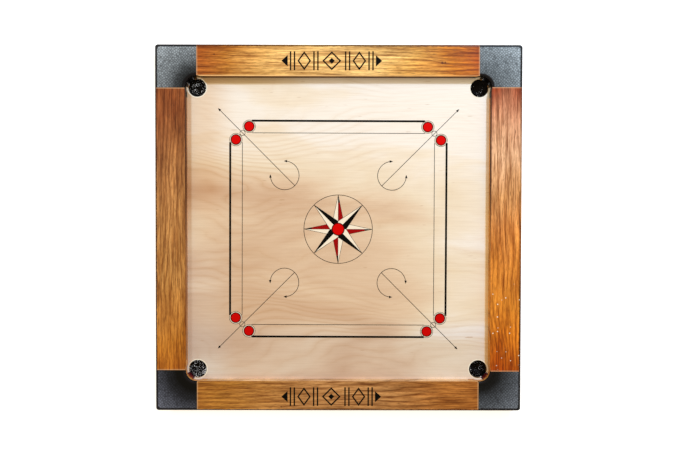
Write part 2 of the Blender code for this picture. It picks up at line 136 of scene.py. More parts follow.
# ---- the surface, the rails and the caps
PAINTED_SHADOW_AND_HIGHLIGHT_STRIPS = {  # painted shadow along the back, left and right rails, painted highlight along the front: width, tint, where along the rail it starts and where it is full
    "rail_back": (0.0165, (0.78, 0.66, 0.46), 0.02, -0.26),
    "rail_left": (0.0090, (0.88, 0.74, 0.60), -0.10, 0.10),
    "rail_right": (0.0080, (1.04, 0.90, 0.62), 0.20, 0.0),
    "rail_front": (0.0050, (1.16, 1.14, 1.14), -0.40, -0.30),
}
RAIL_KNOTS = {  # small knots in the top faces: place and radius
    "rail_back": (((-0.3010, 0.4200), 0.0026), ((0.2500, 0.4005), 0.0042),
                  ((0.2570, 0.4010), 0.0030)),
    "rail_front": (((-0.1390, -0.4350), 0.0024),),
}
CHIPPED_END = (-0.12, -0.36)  # where the right rail's lacquer has small pale chips
RAIL_LOOKS = {
    # axis of the grain; tones from the low end to the high one, with a pale patch of painted sheen
    # towards the back end of the right rail; painted light and shade of the face over the field;
    # the arris line: tone, width, depth and the strength at each end, a painted highlight on the
    # back rail;
    # the outer stain: width and the strength at each end
    "rail_back": (
        0,
        ((0.40, 0.11, 0.025), (0.52, 0.115, 0.018), (0.66, 0.27, 0.045),
         (0.86, 0.50, 0.160), (0.94, 0.58, 0.21), (0.96, 0.61, 0.23),
         (0.98, 0.64, 0.24), (0.90, 0.50, 0.125), (0.69, 0.24, 0.022),
         (0.42, 0.05, 0.006), (0.36, 0.09, 0.020)),
        (0.10, 0.020, 0.002),
        ((0.98, 0.60, 0.26), 0.0028, 0.0014, 0.70, 0.30),
        (0.0056, 0.75, 0.75)),
    "rail_front": (
        0,
        ((0.38, 0.125, 0.026), (0.55, 0.245, 0.045), (0.54, 0.27, 0.10),
         (0.54, 0.27, 0.10), (0.55, 0.22, 0.05), (0.48, 0.16, 0.030)),
        (1.0, 0.70, 0.42),
        ((0.50, 0.22, 0.06), 0.0010, 0.0014, 0.50, 0.50),
        (0.0040, 0.90, 0.90)),
    "rail_left": (
        1,
        ((0.48, 0.11, 0.008), (0.58, 0.22, 0.028), (0.66, 0.33, 0.100),
         (0.56, 0.26, 0.085), (0.34, 0.105, 0.030), (0.35, 0.09, 0.024)),
        (0.66, 0.34, 0.15),
        ((0.06, 0.012, 0.002), 0.0013, 0.0130, 0.12, 0.94),
        (0.0045, 0.93, 0.93)),
    "rail_right": (
        1,
        ((0.36, 0.11, 0.025), (0.46, 0.075, 0.003), (0.75, 0.23, 0.018),
         (0.90, 0.34, 0.042), (0.89, 0.335, 0.056), (0.83, 0.335, 0.092),
         # painted sheen: the paler, pinker tone towards the back end
         (0.78, 0.39, 0.155), (0.865, 0.505, 0.30), (0.73, 0.345, 0.20),
         (0.37, 0.065, 0.016), (0.34, 0.10, 0.030)),
        (0.86, 0.38, 0.060),
        ((0.05, 0.004, 0.000), 0.0012, 0.0115, 0.12, 1.00),
        (0.0060, 0.92, 0.40)),
}
CAP_REACHES = (0.030, 0.047, 0.070, 0.092, 0.125)  # distances from the pocket
CAP_PAINTED_SHEEN = {  # painted sheen: the greys at those distances, which stand in for the light each cap reflects, and the bluish tint of that light
    "back_left": ((0.010, 0.050, 0.190, 0.275, 0.390), (0.90, 1.0, 1.12)),
    "back_right": ((0.110, 0.160, 0.205, 0.270, 0.400), (0.88, 1.0, 1.12)),
    "front_left": ((0.001, 0.001, 0.018, 0.066, 0.165), (0.92, 1.0, 1.40)),
    "front_right": ((0.002, 0.008, 0.058, 0.108, 0.185), (0.88, 1.0, 1.26)),
}

# ---- ornament on the rails
MOTIF_ASIDE = -0.0170  # the ornament is a little off the rail's middle
MOTIF_LOW = -0.0015
MOTIF_HALF_HEIGHT = 0.0228
MOTIF_STROKE = 0.0034
MOTIF_BARS = (0.0335, 0.0430, 0.0900, 0.0995)
MOTIF_LOZENGE = 0.0665  # middle of each side lozenge
MOTIF_SIDE_WIDTH = 0.0165  # its half width
MOTIF_END = 0.1215  # tip of the triangle at each end
MOTIF_END_LENGTH = 0.0150

# ---- nets
NET_RADIUS = 0.0238
NET_REACH = 0.0257  # the rim reaches this far on the side towards the corner
NET_TOP_Z = PLY_BOTTOM_Z - 0.0010
NET_FLOOR_Z = 0.0030
NET_GATHER = 0.20  # how much smaller the inner folds are
NET_FOLD_STEP = 0.0016  # and how much higher each one lies
NET_COLUMNS = 15
NET_ROWS = 10
CORD_RADIUS = 0.00068
KNOT_RADIUS = 0.00125
NOISE_SEED = 7  # without it the noise starts from the clock
NETS = {  # outer folds, inner folds, where the inner ones are bunched, the rim's droop
    "back_left": (2, 1, (-0.004, 0.001), 0.0),
    "back_right": (4, 2, (0.003, 0.003), 0.0),
    "front_left": (2, 1, (-0.003, 0.006), 0.0085),
    "front_right": (3, 2, (0.004, 0.004), 0.0085),
}

# ---- screws
SCREW_HEAD = 0.0035
SCREW_CORE = 0.0012
SCREW_THREAD = 0.0004
SCREW_PITCH = 0.0013
SCREW_CONE = 0.0020  # height of the countersunk head
SCREW_POINT = 0.0030  # length of the point, which has no thread
SCREW_SIDES = 40
SCREW_FACE_RINGS = 14  # rings of corners from the middle of its face to the edge
SHARP_ANGLES = {"cad": 32.0, "screw": 38.0}  # degrees between faces that stay crisp
RECESS_REACH = 0.0022
RECESS_HALF_WIDTH = 0.00050
RECESS_DEPTH = 0.0011

# ---- camera and stage
CAMERA_PLACE = (0.00016, 0.0617, 1.55)
CAMERA_TURN = (-0.017188, -0.000934, 0.00182)
CAMERA_LENS = 32.80865
CAMERA_SHIFT = (0.000394, -0.020433)
SENSOR_WIDTH = 36.0
FLOOR_HALF = 12.0
FLOOR_GLOW = 0.7
DOME_COLOUR = (1.0, 0.80, 0.46)
DOME_STRENGTH = 0.62
LIGHTS = {  # place, size, power and colour
    "key": ((1.15, 1.80, 2.00), (0.24, 0.24), 55.0, (0.54, 0.76, 1.04)),
    "side": ((-1.30, 0.30, 1.70), (0.25, 0.25), 4.5, (0.84, 0.96, 1.10)),
    "sheen": ((0.45, 1.15, 1.80), (2.40, 0.90), 8.0, (0.90, 0.97, 1.0)),
}


# ---- objects and meshes
def add_object(name, data):
    """Put an object that holds the data in the scene."""
    made = bpy.data.objects.new(name, data)
    bpy.context.collection.objects.link(made)
    return made


def mesh_of(bm, name, material):
    """The gathered faces as a mesh of one material."""
    mesh = bpy.data.meshes.new(name)
    bm.to_mesh(mesh)
    bm.free()
    mesh.materials.append(material)
    return mesh


def add_piece(name, data, replaced=()):
    """Put a mesh or a curve in the scene as a piece that rides on the board."""
    piece = add_object(name, data)
    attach(piece, "root")
    if replaced:
        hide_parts(*replaced)
    return piece


# ---- camera, light, floor
def make_camera():
    """A camera nearly straight above the board, a little nearer its back rail."""
    data = bpy.data.cameras.new("camera")
    data.lens = CAMERA_LENS
    data.sensor_width = SENSOR_WIDTH
    data.clip_end = 50.0
    data.shift_x, data.shift_y = CAMERA_SHIFT
    camera = add_object("camera", data)
    camera.location = CAMERA_PLACE
    camera.rotation_euler = CAMERA_TURN
    bpy.context.scene.camera = camera


def area_light(name, place, size, power, colour):
    """A rectangular soft box that faces the middle of the board."""
    data = bpy.data.lights.new(name, "AREA")
    data.shape = "RECTANGLE"
    data.size, data.size_y = size
    data.energy = power
    data.color = colour
    light = add_object(name, data)
    light.location = place
    light.rotation_euler = (-Vector(place)).to_track_quat("-Z", "Y").to_euler()
    light.visible_camera = False


def make_lights():
    """The soft boxes, and a warm dome that the camera sees as white."""
    for name, look in LIGHTS.items():
        area_light(name, *look)
    world = bpy.data.worlds.new("dome")
    world.use_nodes = True
    tree = world.node_tree
    dome = tree.nodes["Background"]
    dome.inputs["Color"].default_value = (*DOME_COLOUR, 1.0)
    dome.inputs["Strength"].default_value = DOME_STRENGTH
    backdrop = tree.nodes.new("ShaderNodeBackground")
    backdrop.inputs["Color"].default_value = (1.0, 1.0, 1.0, 1.0)
    seen = tree.nodes.new("ShaderNodeLightPath").outputs["Is Camera Ray"]
    mix = tree.nodes.new("ShaderNodeMixShader")
    tree.links.new(seen, mix.inputs[0])
    tree.links.new(dome.outputs[0], mix.inputs[1])
    tree.links.new(backdrop.outputs[0], mix.inputs[2])
    tree.links.new(mix.outputs[0], tree.nodes["World Output"].inputs["Surface"])
    bpy.context.scene.world = world


def make_floor():
    """A plain white table top that glows a little, far wider than the board."""
    shader = Shader("floor white", (0.9, 0.9, 0.9), 0.7)
    shader.set("Emission Color", (1.0, 1.0, 1.0))
    shader.set("Emission Strength", FLOOR_GLOW)
    bm = bmesh.new()
    bmesh.ops.create_grid(bm, x_segments=1, y_segments=1, size=FLOOR_HALF)
    floor = add_object("floor", mesh_of(bm, "floor", shader.material))


# ---- material helpers
class Shader:
    """A Principled material whose nodes are added by short calls."""

    def __init__(self, name, colour=(0.8, 0.8, 0.8), roughness=0.5, metallic=0.0, gloss=0.5):
        self.material = bpy.data.materials.new(name)
        self.material.use_nodes = True
        self.tree = self.material.node_tree
        self.principled = self.tree.nodes["Principled BSDF"]
        self.set("Base Color", colour)
        self.set("Roughness", roughness)
        self.set("Metallic", metallic)
        self.set("Specular IOR Level", gloss)

    def set(self, socket, value):
        """Feed a socket of the Principled shader."""
        self.feed(self.principled.inputs[socket], value)

    def feed(self, socket, value):
        """Give a socket a value, or the output that feeds it; a colour's alpha is 1."""
        if isinstance(value, bpy.types.NodeSocket):
            self.tree.links.new(value, socket)
        else:
            socket.default_value = (*value, 1.0) if socket.type == "RGBA" else value

    def finish(self, colour, normal=None, roughness=None):
        """Set the last sockets, and give the material."""
        for socket, value in (("Base Color", colour), ("Normal", normal), ("Roughness", roughness)):
            if value is not None:
                self.set(socket, value)
        return self.material

    def node(self, kind, inputs=None, **settings):
        """A node with its settings, and its inputs by name or number."""
        node = self.tree.nodes.new(kind)
        for key, value in settings.items():
            setattr(node, key, value)
        for key, value in (inputs or {}).items():
            self.feed(node.inputs[key], value)
        return node

    def position(self):
        """The point in the row frame: every piece's own origin is the row frame's."""
        return self.node("ShaderNodeTexCoord").outputs["Object"]

    def place(self, scale=1.0, location=(0.0, 0.0, 0.0), turn=0.0):
        """Positions scaled, turned about Z and moved; one scale may stand for all three."""
        inputs = {"Vector": self.position(), "Location": location, "Rotation": (0.0, 0.0, turn),
                  "Scale": (scale,) * 3 if isinstance(scale, float) else scale}
        return self.node("ShaderNodeMapping", inputs).outputs["Vector"]

    def coordinate(self, axis):
        """One coordinate of the point, by its number."""
        return self.node("ShaderNodeSeparateXYZ", {"Vector": self.position()}).outputs[axis]

    def distance(self, point):
        """Distance across the board from a point."""
        kind = "ShaderNodeVectorMath"
        flat = self.node(kind, {0: self.position(), 1: (1.0, 1.0, 0.0)}, operation="MULTIPLY")
        inputs = {0: flat.outputs["Vector"], 1: (*point, 0.0)}
        return self.node(kind, inputs, operation="DISTANCE").outputs["Value"]

    def noise(self, scale, location=(0.0, 0.0, 0.0), detail=3.0, roughness=0.5, distortion=0.0):
        """Noise from 0 to 1, whose pattern is scaled and moved."""
        inputs = {"Vector": self.place(scale, location), "Scale": 1.0, "Detail": detail,
                  "Roughness": roughness, "Distortion": distortion}
        return self.node("ShaderNodeTexNoise", inputs).outputs["Fac"]

    def fade(self, value, start, stop, low=0.0, high=1.0, curve="SMOOTHSTEP"):
        """Runs from low to high along the curve as the value goes from start to stop."""
        inputs = {"Value": value, "From Min": start, "From Max": stop, "To Min": low,
                  "To Max": high}
        node = self.node("ShaderNodeMapRange", inputs, interpolation_type=curve)
        return node.outputs["Result"]

    def ramp(self, factor, *stops):
        """A colour ramp; each stop is (position, colour) and the colour may be one grey number."""
        node = self.node("ShaderNodeValToRGB", {"Fac": factor})
        elements = node.color_ramp.elements
        while len(elements) < len(stops):
            elements.new(0.5)
        for element, (position, colour) in zip(elements, stops):
            element.position = position
            grey = isinstance(colour, (int, float))
            element.color = (colour, colour, colour, 1.0) if grey else (*colour, 1.0)
        return node.outputs["Color"]

    def mix(self, factor, first, second, blend="MIX"):
        """From the first colour to the second, or the two blended in another way."""
        inputs = {0: factor, 6: first, 7: second}
        return self.node("ShaderNodeMix", inputs, data_type="RGBA", blend_type=blend).outputs[2]

    def shade(self, strength, colour, factor, *stops):
        """The colour multiplied by a ramp, as far as the strength says."""
        return self.mix(strength, colour, self.ramp(factor, *stops), "MULTIPLY")

    def math(self, operation, *values):
        return self.node("ShaderNodeMath", dict(enumerate(values)), operation=operation).outputs[0]

    def product(self, *values):
        """Several numbers multiplied together."""
        result = values[0]
        for value in values[1:]:
            result = self.math("MULTIPLY", result, value)
        return result

    def gap(self, first, second):
        """How far apart two numbers are."""
        return self.math("ABSOLUTE", self.math("SUBTRACT", first, second))

    def contours(self, across, spacing, sway, swing):
        """Growth lines: 0 to 1 again and again, each step being one line.

        The lines lie a spacing apart across the grain, and the sway moves them by up to a swing.
        """
        height = self.math(
            "MULTIPLY_ADD", sway, swing / spacing, self.math("DIVIDE", across, spacing))
        return self.math("FRACT", height)

    def bump(self, height, strength, distance, normal=None):
        inputs = {"Height": height, "Strength": strength, "Distance": distance}
        if normal is not None:
            inputs["Normal"] = normal
        return self.node("ShaderNodeBump", inputs).outputs["Normal"]


# ---- materials
def rail_wood(name, along, tones, painted_face_light, arris, stain, seed):
    """Open-grained hardwood whose tone changes from end to end, with a lined arris, stained outer
    edges and painted shade.

    The grain runs along X (0) or Y (1).  The face over the field gets painted light and shade.
    """
    shader = Shader(name.replace("_", " "), roughness=0.40, gloss=0.15)
    offset = (seed, 0.7 * seed, 1.3 * seed)

    def grain(lengthwise, crosswise, **settings):
        """Noise that is stretched along the rail."""
        scale = tuple(lengthwise if axis == along else crosswise for axis in range(3))
        return shader.noise(scale, offset, **settings)

    inward = shader.gap(shader.coordinate(1 - along), INNER_FACES[name])
    top = shader.fade(shader.coordinate(2), TOP_Z - 0.0018, TOP_Z - 0.0008)
    on_face = shader.product(shader.fade(inward, 0.0020, 0.0012), shader.math("SUBTRACT", 1.0, top))
    colour = rail_tone(shader, along, tones, grain)
    # painted light and shade on the face over the field: dark where it faces away from the light
    colour = shader.mix(on_face, colour, painted_face_light)
    colour, streak, pores = rail_figure(shader, along, colour, grain)
    for point, radius in RAIL_KNOTS.get(name, ()):
        knot = shader.fade(shader.distance(point), radius, 0.45 * radius, 0.0, 0.85)
        colour = shader.mix(knot, colour, (0.10, 0.025, 0.008))
    colour = arris_line(shader, along, inward, colour, *arris)
    colour = beside_caps(shader, name, along, top, colour)
    colour = outer_stain(shader, along, colour, *stain)
    if name == "rail_right":
        chips = shader.product(lacquer_chips(shader), top)
        colour = shader.mix(chips, colour, (1.0, 0.88, 0.72))
    shallow = shader.bump(streak, 0.22, 0.0006)
    relief = shader.bump(shader.math("SUBTRACT", 1.0, pores), 0.30, 0.0003, shallow)
    return shader.finish(colour, relief, shader.fade(streak, 0.3, 0.7, 0.46, 0.32))


def rail_tone(shader, along, tones, grain):
    """Tones spaced evenly from the rail's low end to its high end, with slow changes; a pale patch
    in the right rail's tones is painted sheen.
    """
    drift = grain(6.0, 22.0)
    wander = shader.math("MULTIPLY_ADD", drift, 0.16, -0.08)
    travel = shader.fade(shader.coordinate(along), -HALF_BOARD, HALF_BOARD, curve="LINEAR")
    last = len(tones) - 1
    return shader.ramp(shader.math("ADD", travel, wander),
                       *((number / last, tone) for number, tone in enumerate(tones)))


def rail_figure(shader, along, colour, grain):
    """Growth lines, streaks and open pores; gives the colour, the streaks and the pores."""
    slow = grain(3.5, 34.0, detail=4.0)
    colour = shader.shade(1.0, colour, slow, (0.28, (0.66, 0.58, 0.48)), (0.66, 1.14))

    # growth lines that bend into long loops, darker on one side
    sway = grain(2.6, 9.0, detail=2.0, distortion=0.4)
    rings = shader.contours(shader.coordinate(1 - along), 0.0120, sway, 0.095)
    patch = grain(4.0, 12.0, detail=2.0)
    colour = shader.shade(
        shader.fade(patch, 0.38, 0.60, 0.20, 0.90), colour, rings, (0.0, (0.42, 0.29, 0.19)),
        (0.20, 0.90), (0.60, 1.10), (1.0, (0.72, 0.63, 0.52)))

    # streaks, from broad to fine, and pores
    band = grain(7.0, 125.0)
    colour = shader.shade(0.65, colour, band, (0.34, (0.60, 0.45, 0.32)), (0.52, 1.0), (0.68, 1.18))
    streak = grain(15.0, 330.0, detail=4.0, roughness=0.6)
    colour = shader.shade(
        1.0, colour, streak, (0.30, (0.42, 0.28, 0.18)), (0.54, 1.0), (0.70, 1.22))
    speckle = grain(70.0, 420.0, detail=2.0)
    colour = shader.shade(
        0.40, colour, speckle, (0.34, (0.58, 0.46, 0.38)), (0.50, 1.0), (0.64, 1.26))
    pores = shader.fade(grain(60.0, 900.0, detail=2.0), 0.40, 0.30)
    colour = shader.mix(shader.product(pores, 0.65), colour, (0.09, 0.028, 0.007))
    return colour, streak, pores


def arris_line(shader, along, inward, colour, tone, width, depth, low_strength, high_strength):
    """A line along the arris over the field, as strong as its strength at each end says: a pale
    painted highlight on the back rail, a darker line on the others.
    """
    low = TOP_Z - depth
    # where the arris line lies; on the back rail it is a painted highlight
    worn = shader.product(
        shader.fade(inward, width + 0.0009, width - 0.0009),
        shader.fade(shader.coordinate(2), low - 0.0006, low + 0.0006),
        shader.fade(shader.coordinate(along), -0.16, 0.14, low_strength, high_strength))
    return shader.mix(worn, colour, tone)


def beside_caps(shader, name, along, top, colour):
    """A pale line of filler beside each cap, and painted shade on the wall round each pocket."""
    for corner, signs in CORNERS.items():
        if signs[1 - along] * INNER_FACES[name] > 0.0:
            low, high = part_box(f"corner_cap_{corner}")
            edge = low[along] if signs[along] > 0 else high[along]
            gap = shader.gap(shader.coordinate(along), edge)
            beside = shader.product(shader.fade(gap, 0.0034, 0.0020), top, 0.36)
            colour = shader.mix(beside, colour, (0.86, 0.56, 0.32))
            # painted shade on the wall round the pocket
            colour = pocket_painted_shade(shader, corner, colour, WALL_SHADE_REACH)
    return colour


def outer_stain(shader, along, colour, width, low_strength, high_strength):
    """Dark stain with a ragged inner side, along the outer edge and down the outer side."""
    ragged = shader.noise(170.0)
    out = shader.math("ABSOLUTE", shader.coordinate(1 - along))
    reach = shader.math("MULTIPLY_ADD", ragged, 0.0036, out)
    edge = HALF_BOARD - width + 0.0018
    strength = shader.fade(shader.coordinate(along), -0.20, 0.0, low_strength, high_strength)
    side = shader.fade(shader.coordinate(2), TOP_Z - 0.0040, TOP_Z - 0.0100, 1.0, 0.60)
    stained = shader.product(strength, shader.fade(reach, edge - 0.0005, edge + 0.0010), side)
    return shader.mix(stained, colour, (0.030, 0.009, 0.004))


def lacquer_chips(shader):
    """Where small pale chips are missing from the lacquer: 1 in a chip, and 0 elsewhere."""
    cells = shader.node("ShaderNodeTexVoronoi", {
        "Vector": shader.position(), "Scale": 95.0, "Randomness": 0.9})
    few = shader.fade(shader.node("ShaderNodeSeparateColor", {
        "Color": cells.outputs["Color"]}).outputs["Red"], 0.60, 0.62)
    start, end = CHIPPED_END
    length = abs(end - start)
    off = shader.gap(shader.coordinate(1), 0.5 * (start + end))
    worn = shader.fade(off, 0.5 * length, 0.3 * length)
    return shader.product(shader.fade(cells.outputs["Distance"], 0.17, 0.12), few, worn, 0.85)


def pocket_painted_shade(shader, corner, colour, reach):
    """Colour the wood below the top face, round a pocket, with painted shade in that recess.

    The back corners are painted nearly black; the front ones are reddish stained wood, painted
    darker with depth from orange brown down to maroon.
    """
    height = shader.coordinate(2)
    near = shader.fade(shader.distance(POCKETS[corner]), reach, reach - 0.0008)
    below = shader.fade(height, TOP_Z - 0.0022, TOP_Z - 0.0034)
    # painted shade: nearly black at the back corners, darker with depth at the front ones
    if CORNERS[corner][1] > 0:
        wall = (0.004, 0.002, 0.002)
    else:
        grain = shader.noise((160.0, 160.0, 26.0))
        level = shader.math("MULTIPLY_ADD", grain, 0.008, height)
        wall = shader.ramp(
            shader.math("DIVIDE", level, TOP_Z), (0.38, (0.150, 0.008, 0.014)),
            (0.64, (0.26, 0.030, 0.016)), (0.78, (0.60, 0.25, 0.06)), (0.98, (0.74, 0.40, 0.14)))
    return shader.mix(shader.product(near, below), colour, wall)


def surface_wood():
    """Birch face veneer: growth lines that wave and close into eyes, with warm flames between."""
    shader = Shader("surface plywood", roughness=0.36, gloss=0.18)
    x, y, z = (shader.coordinate(axis) for axis in range(3))

    # warm heartwood in the middle; paler towards the back and the right as painted sheen and light,
    # and cooler and a little darker at the front as painted shade
    flame = shader.noise((2.4, 8.0, 1.0), (4.0, 1.5, 0.0), detail=4.0, distortion=0.7)
    pale = shader.math(
        "ADD", shader.fade(y, 0.06, 0.27, 0.0, 0.50), shader.fade(x, 0.05, 0.34, 0.0, 0.36))
    warmth = shader.math("SUBTRACT", flame, pale)
    colour = shader.ramp(
        warmth, (0.0, (0.94, 0.84, 0.76)), (0.10, (0.91, 0.77, 0.63)), (0.22, (0.87, 0.71, 0.54)),
        (0.42, (0.80, 0.59, 0.42)), (0.62, (0.68, 0.45, 0.30)))
    # painted shade: cooler and darker towards the front
    colour = shader.mix(shader.fade(y, -0.20, -0.28), colour, (0.90, 0.92, 1.00), "MULTIPLY")
    colour = surface_edges(shader, x, y, colour)

    # waves and eyes of the rotary-cut veneer
    sway = shader.noise(
        (2.6, 4.6, 1.0), (9.0, 2.0, 0.0), detail=2.0, roughness=0.40, distortion=0.3)
    feather = shader.noise((18.0, 60.0, 1.0))
    rings = shader.contours(y, 0.0220, shader.math("MULTIPLY_ADD", feather, 0.036, sway), 0.34)
    clear = shader.noise((2.5, 6.0, 1.0), (1.0, 7.0, 0.0), detail=2.0)
    # the growth lines fade where the painted sheen makes the surface pale
    strength = shader.product(
        shader.fade(clear, 0.36, 0.66, 0.10, 0.75), shader.fade(pale, 0.25, 0.75, 1.0, 0.18))
    colour = shader.shade(
        strength, colour, rings, (0.0, (0.86, 0.76, 0.66)), (0.12, (0.94, 0.89, 0.84)), (0.38, 1.0),
        (0.70, 1.0), (1.0, (0.90, 0.84, 0.77)))

    # fine fibres and a few short brown flecks
    fibre = shader.noise((14.0, 420.0, 40.0), detail=4.0, roughness=0.6)
    colour = shader.shade(0.35, colour, fibre, (0.30, (0.84, 0.79, 0.74)), (0.60, 1.03))
    fleck = shader.noise((26.0, 210.0, 1.0), (3.0, 5.0, 0.0), detail=1.0)
    colour = shader.mix(shader.fade(fleck, 0.27, 0.19, 0.0, 0.45), colour, (0.42, 0.22, 0.10))

    # painted shade: the surface is painted black beside the back pockets, on the side towards the
    # corner, where the rail's shadow falls
    for corner, signs in CORNERS.items():
        if signs[1] > 0:
            beyond = POCKETS[corner] + 0.0165 * Vector(signs)
            black = shader.fade(shader.distance(beyond), 0.0185, 0.0165, 0.0, 0.95)
            colour = shader.mix(black, colour, (0.012, 0.006, 0.005))

    # the plies show in the wall of each hole
    ply = shader.math("FRACT", shader.math("DIVIDE", z, PLY_PAIR))
    plies = shader.ramp(ply, (0.0, (0.52, 0.30, 0.14)), (0.45, (0.55, 0.33, 0.16)),
                        (0.55, (0.30, 0.15, 0.07)), (1.0, (0.34, 0.18, 0.08)))
    colour = shader.mix(shader.fade(z, SURFACE_Z - 0.0002, SURFACE_Z - 0.0004), colour, plies)
    return shader.finish(colour, shader.bump(fibre, 0.06, 0.0003))


def surface_edges(shader, x, y, colour):
    """The left edge is darker and warmer at the back, paler and bluer at the front; strips of
    painted shadow and highlight follow the rails.
    """
    height = shader.fade(y, -FIELD_HALF, FIELD_HALF, curve="LINEAR")
    colour = shader.shade(
        shader.fade(x, -0.24, -0.33), colour, height, (0.10, (1.04, 1.18, 1.36)),
        (0.32, (1.05, 1.14, 1.28)), (0.48, 1.0), (0.62, (0.92, 0.82, 0.73)),
        (0.85, (0.90, 0.78, 0.66)))
    # painted shadow along the back, left and right rails, and a painted highlight along the front
    # rail
    for rail, (width, tint, start, full) in PAINTED_SHADOW_AND_HIGHLIGHT_STRIPS.items():
        across, along = (y, x) if rail in ("rail_back", "rail_front") else (x, y)
        near = shader.fade(shader.gap(across, INNER_FACES[rail]), width + 0.0030, width - 0.0020)
        strip = shader.product(near, shader.fade(along, start, full, 0.15, 1.0))
        colour = shader.mix(strip, colour, tint, "MULTIPLY")
    return colour


def bare_edge_wood():
    """Pale sanded edge of a pocket's hole."""
    shader = Shader("sanded hole edge", roughness=0.6, gloss=0.2)
    fibre = shader.noise((80.0, 500.0, 80.0))
    return shader.finish(shader.ramp(fibre, (0.3, (0.92, 0.80, 0.64)), (0.7, (1.0, 0.93, 0.82))))


def cap_black(corner, greys, tint):
    """Black pebbled plate with a glossy roll, whose painted sheen greys it away from the pocket.

    The greys belong to the distances CAP_REACHES from the pocket.
    """
    shader = Shader(f"corner cap black {corner}", gloss=0.14)
    away = shader.distance(POCKETS[corner])
    pebble = shader.node("ShaderNodeTexVoronoi", {
        "Vector": shader.place(turn=math.radians(45.0)), "Scale": 190.0, "Randomness": 0.55,
    }, feature="DISTANCE_TO_EDGE").outputs["Distance"]
    mottle = shader.noise(60.0)
    # painted sheen: greys that grow away from the pocket, standing in for reflected light
    painted_sheen = shader.ramp(shader.math("DIVIDE", away, CAP_REACHES[-1]),
                       *((reach / CAP_REACHES[-1], grey)
                         for reach, grey in zip(CAP_REACHES, greys)))
    colour = shader.mix(1.0, painted_sheen, tint, "MULTIPLY")
    colour = shader.shade(0.9, colour, pebble, (0.0, 0.30), (0.10, 0.75), (0.30, 1.35))
    colour = shader.shade(0.5, colour, mottle, (0.3, 0.65), (0.7, 1.25))
    on_roll = shader.fade(away, BORE_RADIUS + CAP_ROLL + 0.0016, BORE_RADIUS + CAP_ROLL + 0.0006)

    # the bend over the outer edges is black, without the painted sheen except at a few ragged spots
    reach = [shader.math("SUBTRACT", HALF_BOARD, shader.math("ABSOLUTE", shader.coordinate(axis)))
             for axis in (0, 1)]
    margin = shader.math("SMOOTH_MIN", *reach, 0.012)
    margin = shader.math("MULTIPLY_ADD", shader.noise(230.0), 0.0022, margin)
    bend = shader.fade(margin, 0.0084, 0.0068, 0.0, 0.95)
    dark = shader.math("MAXIMUM", on_roll, bend)
    colour = shader.mix(dark, colour, (0.006, 0.005, 0.007))
    grain = shader.product(pebble, shader.math("SUBTRACT", 1.0, on_roll))
    return shader.finish(
        colour, shader.bump(grain, 0.5, 0.0010), shader.math("MULTIPLY_ADD", on_roll, -0.24, 0.46))


def block_wood(corner):
    """Stained corner block behind a pocket, with painted shade down its wall."""
    shader = Shader(f"corner block wood {corner}", roughness=0.55, gloss=0.08)
    grain = shader.noise((160.0, 160.0, 26.0), detail=4.0)
    colour = pocket_painted_shade(shader, corner, (0.30, 0.14, 0.05), 2.0 * BORE_RADIUS)
    colour = shader.shade(0.5, colour, grain, (0.3, 0.6), (0.65, 1.1))
    return shader.finish(colour, shader.bump(grain, 0.2, 0.0005))


def batten_wood():
    """Planed softwood with wide growth lines."""
    shader = Shader("batten softwood", roughness=0.6)
    sway = shader.noise((2.0, 2.0, 6.0), detail=2.0)
    rings = shader.contours(shader.coordinate(2), 0.006, sway, 0.06)
    fibre = shader.noise((90.0, 90.0, 300.0), detail=4.0)
    colour = shader.ramp(
        rings, (0.0, (0.50, 0.30, 0.13)), (0.25, (0.68, 0.48, 0.27)), (1.0, (0.60, 0.40, 0.20)))
    colour = shader.shade(0.5, colour, fibre, (0.3, 0.75), (0.65, 1.0))
    return shader.finish(colour, shader.bump(fibre, 0.2, 0.0004))


def cord_black():
    """Twisted black nylon with a soft shine."""
    shader = Shader("net cord black", roughness=0.55, gloss=0.2)
    fibre = shader.noise(1400.0, detail=2.0)
    tone = shader.ramp(fibre, (0.3, 0.002), (0.7, (0.014, 0.010, 0.011)))
    return shader.finish(tone, shader.bump(fibre, 0.6, 0.0003))


def ring_plastic():
    """Black moulded clamping ring with fine turning marks."""
    shader = Shader("net ring plastic", roughness=0.45)
    speck = shader.noise(500.0, detail=2.0)
    tone = shader.ramp(speck, (0.3, (0.014, 0.014, 0.016)), (0.7, (0.028, 0.028, 0.030)))
    return shader.finish(tone, shader.bump(speck, 0.15, 0.0002))


def metal(name, dark, light, roughness):
    """Metal with small worn spots."""
    shader = Shader(name, roughness=roughness, metallic=1.0)
    spots = shader.noise(700.0)
    return shader.finish(
        shader.ramp(spots, (0.35, dark), (0.65, light)), shader.bump(spots, 0.1, 0.0001),
        shader.fade(spots, 0.3, 0.7, roughness - 0.06, roughness + 0.10))


def ink(name, colour, worn, front=1.0):
    """Screen ink under lacquer, slightly uneven where the mesh left it thin.

    The front factor darkens it towards the front of the board, as painted shade.
    """
    shader = Shader(name, roughness=0.36, gloss=0.06)
    speck = shader.noise((900.0, 900.0, 1.0), detail=2.0)
    tone = shader.ramp(speck, (0.35, worn), (0.52, colour))
    # painted shade: darker towards the front
    if front < 1.0:
        shade = shader.fade(shader.coordinate(1), 0.10, -0.25)
        tone = shader.mix(shade, tone, (front, front, front), "MULTIPLY")
    return shader.finish(tone)


# ---- printed markings
PRINT_PLACE = (Matrix.Translation((*(FIELD_MIDDLE + PRINT_SHIFT), 0.0))
               @ Matrix.Rotation(PRINT_TURN, 4, "Z") @ Matrix.Scale(PRINT_SCALE, 4))


